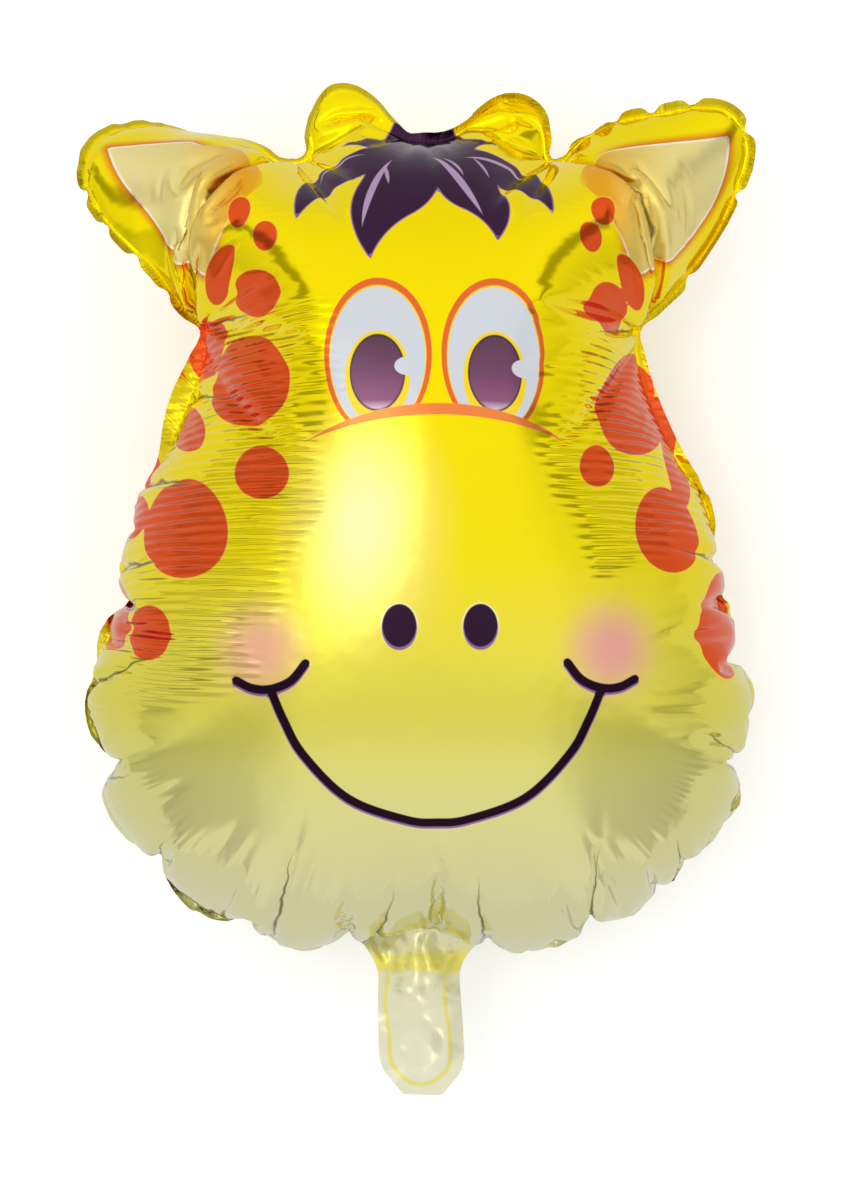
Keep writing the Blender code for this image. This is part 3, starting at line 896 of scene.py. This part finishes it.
def with_spots(tree, colour):
    """Prints the orange spots, each with a thin pale line round it."""
    spots, _ = field(tree, "spots")
    colour = over(colour, SPOT_EDGE, within(spots, 0.4, 0.7))
    return over(colour, SPOT_ORANGE, within(spots))


BAND_MIDDLE, BAND_HALF_WIDTH, SEAL_HALF_WIDTH = -363.0, 7.5, 1.5
CLEAR_FILM = ((-440, (0.79, 0.77, 0.56)), (-385, (0.76, 0.74, 0.50)), (-352, (0.74, 0.71, 0.36)))
BAND_YELLOW, SEAL_YELLOW = (0.80, 0.72, 0.14), (0.80, 0.73, 0.20)


def tab_print(tree, place, y, colour):
    """Leaves the tab almost clear, with a ragged yellow band across it and the line of its seal.

    Gives the colour and the mask of the tab.
    """
    tab = faded(y, TAB_TOP, TAB_TOP - TAB_FADE)
    colour = over(colour, ramp(y, CLEAR_FILM), tab)
    ragged = node(tree, "ShaderNodeTexNoise", place, None, 0.05, 1.0, 0.4)
    ragged = faded(ragged, 0.3, 0.7, -2.0, 4.0)
    away = maths("ABSOLUTE", plus(y, -BAND_MIDDLE))
    band = within(plus(away, ragged), 2.5, BAND_HALF_WIDTH)
    colour = over(colour, BAND_YELLOW, times(band, tab))
    seal, _ = field(tree, "tab seal")
    seal = within(maths("ABSOLUTE", seal), 0.5, SEAL_HALF_WIDTH)
    return over(colour, SEAL_YELLOW, times(seal, tab)), tab


# A painted highlight: a soft pale patch where the foil mirrors the lamp overhead, laid on top of its real
# reflection.
MUZZLE_HIGHLIGHT_PAINT, MUZZLE_HIGHLIGHT_MIDDLE, MUZZLE_HIGHLIGHT_SIZE = (1.0, 0.92, 0.60), (-38, 18), (72, 105)
CHEEK_FROM_MIDDLE, CHEEK_Y, CHEEK_RADIUS = 120, -64, 34
BLUSH, BLUSH_STRENGTHS = (0.82, 0.37, 0.33), ((-1, 0.78), (1, 0.95))


def paint_highlight_and_cheeks(place, colour):
    """Paints a soft pale highlight on the muzzle, left of its middle, and prints the pink cheeks, the right
    one stronger.
    """
    highlight_patch = ellipse(place, MUZZLE_HIGHLIGHT_MIDDLE, MUZZLE_HIGHLIGHT_SIZE)
    # Painted highlight: a pale patch over the print, fading out from its middle.
    colour = over(colour, MUZZLE_HIGHLIGHT_PAINT, eased(highlight_patch, 0.0, -75.0, 0.0, 0.45))
    for side, strength in BLUSH_STRENGTHS:
        middle = (PRINT_MIDDLE + CHEEK_FROM_MIDDLE * side, CHEEK_Y)
        cheek = ellipse(place, middle, (CHEEK_RADIUS, CHEEK_RADIUS))
        colour = over(colour, BLUSH, eased(cheek, 12.0, -30.0, 0.0, strength))
    return colour


EAR_ORANGE, EAR_LINE = (0.80, 0.20, 0.01), (0.98, 0.93, 0.75)
INNER_EAR = ((112, (0.92, 0.45, 0.004)), (132, (0.88, 0.40, 0.012)), (158, (0.84, 0.60, 0.12)),
             (190, (0.86, 0.73, 0.27)), (236, (0.88, 0.76, 0.34)))


def print_ears(tree, x, colour):
    """Prints the inner ears: pale, orange towards the head, in a thin pale line and an orange haze.

    Gives the colour and the mask of the patches.
    """
    ears, _ = field(tree, "ears")
    aside = maths("ABSOLUTE", x)
    far_out = eased(aside, 132.0, 160.0)
    colour = over(colour, EAR_ORANGE, times(far_out, eased(ears, 9.0, 0.0)))
    colour = over(colour, EAR_LINE, times(far_out, within(ears, 0.4, 0.8)))
    patch = times(faded(aside, 112.0, 122.0), within(ears, 0.4, -0.8))
    return over(colour, ramp(aside, INNER_EAR), patch), patch


EYE_FROM_MIDDLE, EYE_Y = 40.0, 134.0
EYE_RIM, EYE_RING, EYE_BALL = (0, 0, 36.8, 54.5), (0, -1, 33.2, 50.3), (0, -1.5, 32.4, 49.5)
IRIS_RING, PUPIL, GLINT = (0, -15, 22.2, 31.5), (0, -12, 18.9, 26.2), (20.5, -8.0, 9, 6.3)
EYE_ORANGE, EYE_YELLOW, EYE_WHITE = (0.83, 0.15, 0.035), (0.95, 0.70, 0.0), (0.64, 0.67, 0.72)
IRIS_YELLOW, INK = (0.95, 0.68, 0.0), (0.015, 0.003, 0.012)
IRIS = ((-38, (0.95, 0.92, 0.95)), (-35.5, (0.60, 0.40, 0.55)), (-31, (0.26, 0.07, 0.17)),
        (-12, (0.15, 0.034, 0.10)), (14, (0.08, 0.018, 0.05)))
LID = ((-80, 76.5), (106, 76.5), 16.8, 24.4)
LID_MIDDLE, LID_RADIUS, LID_ORANGE = (13, -88.5), 189.4, (0.90, 0.24, 0.06)


def print_eyes(place, y, colour):
    """Prints the eyes from the orange rim to the glint, each part (x, y, half axes) an ellipse.

    All end at the line of the lower lid. Gives the colour and the mask of the white ink.
    """
    above_lid = within(ellipse(place, LID_MIDDLE, (LID_RADIUS, LID_RADIUS)), -0.35)
    iris = ramp(y, [(EYE_Y + up, tint) for up, tint in IRIS])
    whites = []
    for side in (-1, 1):
        eye_x = PRINT_MIDDLE + EYE_FROM_MIDDLE * side
        part = lambda dx, dy, a, b: ellipse(place, (eye_x + dx, EYE_Y + dy), (a, b))
        white, pupil = part(*EYE_BALL), part(*PUPIL)
        for paint, area in ((EYE_ORANGE, within(part(*EYE_RIM))), (EYE_YELLOW, within(part(*EYE_RING))),
                            (EYE_WHITE, within(white)), (IRIS_YELLOW, within(part(*IRIS_RING))),
                            (INK, within(pupil)), (iris, within(pupil, 0.5, -1.0)),
                            (EYE_WHITE, within(part(*GLINT)))):
            colour = over(colour, paint, times(area, above_lid))
        whites.append(times(within(white), above_lid))
    colour = over(colour, LID_ORANGE, within(lens(place, *LID)))
    return colour, maths("MAXIMUM", *whites)


LOCK_LIGHTS = (
    ((-75, 290), (-40, 308), 7.0, 9.5), ((-20, 299), (-40, 230), -6.0, -1.0),
    ((-25, 292), (-22, 270), -1.2, 1.5), ((9, 308), (43, 240), -1.5, 4.0),
    ((16, 303), (30, 280), 1.0, 3.2), ((31, 303), (82, 291), 3.0, 7.0), ((37, 303), (48, 281), 0.4, 2.6),
)
FORELOCK_DARK, LOCK_LILAC, LILAC = (0.045, 0.015, 0.045), (0.50, 0.34, 0.54), (0.30, 0.14, 0.34)
NOSTRIL_MIDDLE, NOSTRIL_FROM_MIDDLE, NOSTRIL_Y, NOSTRIL = PRINT_MIDDLE + 2, 27, -47, (11.8, 14.8)
NOSTRIL_LINE, NOSTRIL_DARK = (0.90, 0.82, 0.45), (0.03, 0.01, 0.03)


def print_lines(tree, place, colour):
    """Prints the forelock with its lilac lights, the nostrils, and the smile with a lilac edge."""
    forelock, _ = field(tree, "forelock")
    colour = over(colour, LILAC, within(forelock, 0.35, 0.4))
    colour = over(colour, FORELOCK_DARK, within(forelock, 0.35, -0.6))
    for stroke in LOCK_LIGHTS:
        colour = over(colour, LOCK_LILAC, within(lens(place, *stroke)))
    for side in (-1, 1):
        for paint, up, grow in ((NOSTRIL_LINE, 0.5, 0.8), (LILAC, -0.8, 0), (NOSTRIL_DARK, 0.8, -0.5)):
            middle = (NOSTRIL_MIDDLE + NOSTRIL_FROM_MIDDLE * side, NOSTRIL_Y + up)
            nostril = ellipse(place, middle, (NOSTRIL[0] + grow, NOSTRIL[1] + grow))
            colour = over(colour, paint, within(nostril))
    for name, paint in (("smile edge", LILAC), ("smile", INK)):
        colour = over(colour, paint, within(field(tree, name)[0]))
    return colour


def film_material(name):
    """Starts a film's material. Gives it with its node tree."""
    material = bpy.data.materials.new(name)
    material.use_nodes = True
    return material, material.node_tree


def front_material():
    """Builds the printed film: ground, painted muzzle highlight, cheeks, ears, spots, eyes, forelock,
    nostrils, smile and tab.
    """
    material, tree = film_material("front film")
    place, x, y, colour = film_ground(tree)
    colour, patch = print_ears(tree, x, paint_highlight_and_cheeks(place, colour))
    colour, white_ink = print_eyes(place, y, with_spots(tree, colour))
    colour, tab = tab_print(tree, place, y, print_lines(tree, place, colour))
    half_tab = times(tab, 0.5)
    foil(tree, colour, maths("MAXIMUM", white_ink, half_tab), maths("MAXIMUM", patch, half_tab))
    return material


front.data.materials.append(front_material())
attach(front, "root")
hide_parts("front_foil_panel")

# Back foil
# The back film is a second sheet of the same metallised nylon, welded to the front all round. It
# has the same yellow ground, printed with orange spots alone.
BACK_SPOTS = (
    (0, 212, 30, 22, 20), (-88, 262, 22, 16, -30), (92, 250, 22, 15, 25), (-152, 172, 30, 22, -20),
    (-52, 142, 34, 26, 15), (66, 152, 30, 24, -25), (160, 140, 32, 24, 30), (-192, 72, 32, 25, -30),
    (-100, 52, 36, 27, 20), (8, 62, 34, 28, -10), (118, 58, 34, 26, 15), (215, 40, 30, 24, 20),
    (-238, -40, 28, 24, 0), (-150, -42, 34, 26, -20), (-46, -38, 32, 25, 25), (66, -42, 36, 27, -15),
    (180, -48, 32, 26, 20), (-92, -122, 24, 20, 0), (28, -126, 26, 20, 10), (140, -126, 24, 19, -15),
    (-190, 292, 24, 15, -25), (195, 290, 22, 15, 25),
)
back_fields = dict(sheet_fields)
back_fields["spots"] = spot_distance(flat, BACK_SPOTS)
back_fields["tab seal"] = front_fields["tab seal"]
back_faces = sheet["faces"][:, ::-1]
back = film_mesh("back_foil", parted(back_points, back_faces), back_faces, back_fields)


def back_material():
    """Builds the plain side's film: ground, spots and tab."""
    material, tree = film_material("back film")
    place, _, y, colour = film_ground(tree)
    colour, tab = tab_print(tree, place, y, with_spots(tree, colour))
    half_tab = times(tab, 0.5)
    foil(tree, colour, half_tab, half_tab)
    return material


back.data.materials.append(back_material())
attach(back, "root")
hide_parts("back_foil_panel")

# Camera
# It looks straight down on the face, at the photograph's scale in the plane of the weld.
PHOTO_WIDTH, PHOTO_HEIGHT = 866, 1181
MM_PER_PIXEL = 0.72
MIDDLE_PIXEL, ORIGIN_ROW = 421.0, 560.0
CAMERA_DISTANCE = 2.2
camera = bpy.data.objects.new("camera", bpy.data.cameras.new("camera"))
bpy.context.scene.collection.objects.link(camera)
bpy.context.scene.camera = camera
camera.location = ((PHOTO_WIDTH / 2 - MIDDLE_PIXEL) * MM_PER_PIXEL * MM,
                   (ORIGIN_ROW - PHOTO_HEIGHT / 2) * MM_PER_PIXEL * MM, cad_seam + CAMERA_DISTANCE)
camera.data.lens = camera.data.sensor_width * CAMERA_DISTANCE / (PHOTO_HEIGHT * MM_PER_PIXEL * MM)

# Floor
# A sheet of white paper that glows a little. The foil sees it darker than the camera does, as the
# set round the real balloon was.
FLOOR_HALF = 6
PAPER, PAPER_IN_FOIL = (0.95, 0.95, 0.95), (0.42, 0.42, 0.41)
PAPER_GLOW, PAPER_GLOW_IN_FOIL = 0.25, 0.38
floor_mesh = bpy.data.meshes.new("floor")
floor_mesh.from_pydata([(-FLOOR_HALF, -FLOOR_HALF, 0), (FLOOR_HALF, -FLOOR_HALF, 0),
                        (FLOOR_HALF, FLOOR_HALF, 0), (-FLOOR_HALF, FLOOR_HALF, 0)], [], [(0, 1, 2, 3)])
floor = bpy.data.objects.new("floor", floor_mesh)
bpy.context.scene.collection.objects.link(floor)
paper = bpy.data.materials.new("floor")
paper.use_nodes = True
paper_tree = paper.node_tree
paper_shader = paper_tree.nodes["Principled BSDF"]
paper_shader.inputs["Roughness"].default_value = 0.9
paper_shader.inputs["Emission Color"].default_value = (1.0, 1.0, 1.0, 1.0)
mirrored = paper_tree.nodes.new("ShaderNodeLightPath").outputs["Is Glossy Ray"]
paper_tree.links.new(over(PAPER, PAPER_IN_FOIL, mirrored), paper_shader.inputs["Base Color"])
paper_tree.links.new(faded(mirrored, 0.0, 1.0, PAPER_GLOW, PAPER_GLOW_IN_FOIL),
                     paper_shader.inputs["Emission Strength"])
floor.data.materials.append(paper)

# Studio light
# One soft lamp over the left shoulder, which the foil doesn't mirror, and a white tent all round,
# which it does.
LAMP_PLACE, LAMP_SIZE, LAMP_POWER = (-0.48, 0.12, 2.9), (0.7, 0.6), 5
LAMP_TARGET = (0.0, 0.0, 0.15)
lamp = bpy.data.lights.new("key softbox", "AREA")
lamp.shape = "RECTANGLE"
lamp.size, lamp.size_y = LAMP_SIZE
lamp.energy = LAMP_POWER
softbox = bpy.data.objects.new("key softbox", lamp)
softbox.location = LAMP_PLACE
softbox.visible_glossy = False
softbox.rotation_euler = (Vector(LAMP_PLACE) - Vector(LAMP_TARGET)).to_track_quat("Z", "Y").to_euler()
bpy.context.scene.collection.objects.link(softbox)

GLOW_WAY, GLOW_EDGE, GLOW_STRENGTH = (-0.32, 0.16, 1.0), 22.0, 0.9
TENT_BY_SIDE = ((0, 1.0), (32, 1.0), (58, 0.85), (75, 0.74), (90, 0.65))
TENT_BY_HEIGHT = ((-90, 0.85), (-40, 0.95), (-26, 0.97), (-20, 0.9), (-8, 1.0), (35, 1.0), (90, 0.85))
BLACK = (0.0, 0.0, 0.0)


def studio_world():
    """Makes the white tent round the set, as seen in the foil.

    The brightness is the product of one by the angle to the side, asin |x|, and one by the angle up
    the picture, asin y. A gap high at either side and a patch low there are darker, and a round
    lamp glows overhead.
    """
    world = bpy.data.worlds.new("studio")
    world.use_nodes = True
    tree = world.node_tree
    way = tree.nodes.new("ShaderNodeTexCoord").outputs["Generated"]
    x, y, z = node(tree, "ShaderNodeSeparateXYZ", way).node.outputs
    degrees = lambda value: times(maths("ARCSINE", value), 57.3)
    aside, upward = degrees(maths("ABSOLUTE", x)), degrees(y)
    greys = lambda value, stops: ramp(value, [(stop, (level,) * 3) for stop, level in stops])
    between = lambda value, a, b, c, d: times(eased(value, a, b), eased(value, c, d, 1.0, 0.0))
    ahead = faded(z, 0.0, 0.15)
    gap = times(times(ahead, between(aside, 39.0, 45.0, 52.0, 59.0)),
                eased(upward, 10.0, 22.0, 0.0, 0.62))
    low = times(eased(aside, 22.0, 36.0, 0.0, 0.26), between(upward, -50.0, -42.0, -17.0, -7.0))
    light = over(BLACK, greys(aside, TENT_BY_SIDE), greys(upward, TENT_BY_HEIGHT))
    light = over(light, BLACK, maths("MAXIMUM", low, gap))
    lamp_way = Vector(GLOW_WAY).normalized()
    towards = node(tree, "ShaderNodeVectorMath", way, lamp_way, operation="DOT_PRODUCT").node
    glow = eased(towards.outputs["Value"], math.cos(math.radians(GLOW_EDGE)), 1.0, 0.0, GLOW_STRENGTH)
    light = node(tree, "ShaderNodeVectorMath", light, glow, operation="ADD")
    background = tree.nodes["Background"]
    tree.links.new(light, background.inputs["Color"])
    background.inputs["Strength"].default_value = 1.0
    return world


bpy.context.scene.world = studio_world()
bpy.context.scene.view_settings.view_transform = "Standard"
